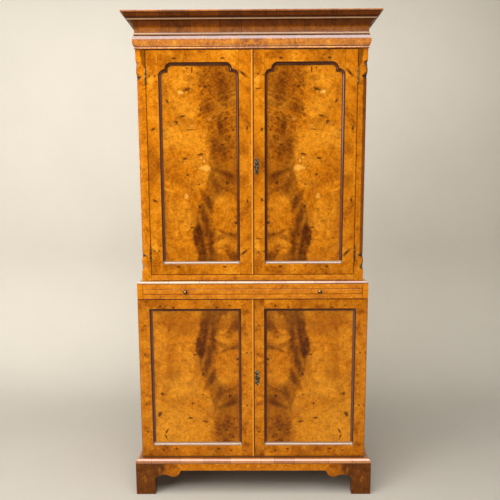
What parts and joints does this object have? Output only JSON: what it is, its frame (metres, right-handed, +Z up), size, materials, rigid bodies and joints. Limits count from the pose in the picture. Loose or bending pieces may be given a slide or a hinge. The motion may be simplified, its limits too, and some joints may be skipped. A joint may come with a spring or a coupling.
{
  "type": "bar cabinet",
  "caption": "Two-stage burr veneered bar cabinet with a moulded cornice, canted pilasters, panelled doors, a pull-out slide at the waist and bracket feet.",
  "frame": {"origin": "on the floor, under the middle of the cabinet's box", "axes": "+Z up, -Y out of the doors, +X to the right of someone facing the doors"},
  "size_m": [0.962, 0.464, 1.9],
  "materials": {
    "burr_veneer": "golden burr veneer under gloss lacquer",
    "panel_burr": "book-matched burr veneer under gloss lacquer",
    "dark_moulding": "dark red-brown polished hardwood",
    "carcase_wood": "satin stained carcase timber",
    "antique_brass": "aged cast brass",
    "lock_steel": "plain lock steel",
    "shelf_glass": "clear float glass with ground edges"
  },
  "bodies": {
    "carcase": {"base_front": "burr_veneer", "base_left": "burr_veneer", "base_right": "burr_veneer", "base_rear": "carcase_wood", "base_moulding": "burr_veneer", "lower_bottom": "carcase_wood", "lower_side_left": "burr_veneer", "lower_side_right": "burr_veneer", "lower_dust_board": "carcase_wood", "lower_top": "carcase_wood", "lower_back": "carcase_wood", "lower_shelf": "carcase_wood", "waist_moulding": "burr_veneer", "upper_side_left": "burr_veneer", "upper_side_right": "burr_veneer", "pilaster_left": "burr_veneer", "pilaster_right": "burr_veneer", "upper_bottom": "carcase_wood", "upper_top": "carcase_wood", "upper_back": "carcase_wood", "glass_shelf_lower": "shelf_glass", "glass_shelf_upper": "shelf_glass", "frieze": "burr_veneer", "cornice": "burr_veneer", "cornice_cover": "carcase_wood", "upper_left_hinge_top_post_leaf": "antique_brass", "upper_left_hinge_bottom_post_leaf": "antique_brass", "upper_right_hinge_top_post_leaf": "antique_brass", "upper_right_hinge_bottom_post_leaf": "antique_brass"},
    "slide": {"slide_front": "burr_veneer", "slide_board": "carcase_wood", "slide_knob_left": "antique_brass", "slide_knob_right": "antique_brass"},
    "upper_left_door": {"upper_left_door_frame": "burr_veneer", "upper_left_door_panel": "panel_burr", "upper_left_door_moulding": "dark_moulding", "upper_left_hinge_top_door_leaf": "antique_brass", "upper_left_hinge_bottom_door_leaf": "antique_brass"},
    "upper_right_door": {"upper_right_door_frame": "burr_veneer", "upper_right_door_panel": "panel_burr", "upper_right_door_moulding": "dark_moulding", "upper_right_hinge_top_door_leaf": "antique_brass", "upper_right_hinge_bottom_door_leaf": "antique_brass", "upper_right_door_lock_case": "lock_steel", "upper_right_door_escutcheon": "antique_brass"},
    "upper_lock_bolt": {"upper_right_door_lock_bolt": "antique_brass"},
    "lower_left_door": {"lower_left_door_frame": "burr_veneer", "lower_left_door_panel": "panel_burr", "lower_left_door_moulding": "dark_moulding", "lower_left_pivot_top": "antique_brass", "lower_left_pivot_bottom": "antique_brass"},
    "lower_right_door": {"lower_right_door_frame": "burr_veneer", "lower_right_door_panel": "panel_burr", "lower_right_door_moulding": "dark_moulding", "lower_right_pivot_top": "antique_brass", "lower_right_pivot_bottom": "antique_brass", "lower_right_door_lock_case": "lock_steel", "lower_right_door_escutcheon": "antique_brass"},
    "lower_lock_bolt": {"lower_right_door_lock_bolt": "antique_brass"}
  },
  "joints": [
    {"name": "upper_left_door_hinge", "type": "hinge", "parent": "carcase", "child": "upper_left_door", "pos_m": [-0.40275, -0.1915, 1.34], "axis": [0, 0, -1], "range_deg": [0, 110]},
    {"name": "upper_right_door_hinge", "type": "hinge", "parent": "carcase", "child": "upper_right_door", "pos_m": [0.40275, -0.1915, 1.34], "axis": [0, 0, 1], "range_deg": [0, 110]},
    {"name": "lower_left_door_hinge", "type": "hinge", "parent": "carcase", "child": "lower_left_door", "pos_m": [-0.452, -0.203, 0.483], "axis": [0, 0, -1], "range_deg": [0, 110]},
    {"name": "lower_right_door_hinge", "type": "hinge", "parent": "carcase", "child": "lower_right_door", "pos_m": [0.452, -0.203, 0.483], "axis": [0, 0, 1], "range_deg": [0, 110]},
    {"name": "slide_pull", "type": "slide", "parent": "carcase", "child": "slide", "axis": [0, -1, 0], "range_m": [0, 0.26]},
    {"name": "upper_bolt_throw", "type": "slide", "parent": "upper_right_door", "child": "upper_lock_bolt", "axis": [-1, 0, 0], "range_m": [0, 0.0085]},
    {"name": "lower_bolt_throw", "type": "slide", "parent": "lower_right_door", "child": "lower_lock_bolt", "axis": [-1, 0, 0], "range_m": [0, 0.0085]}
  ]
}
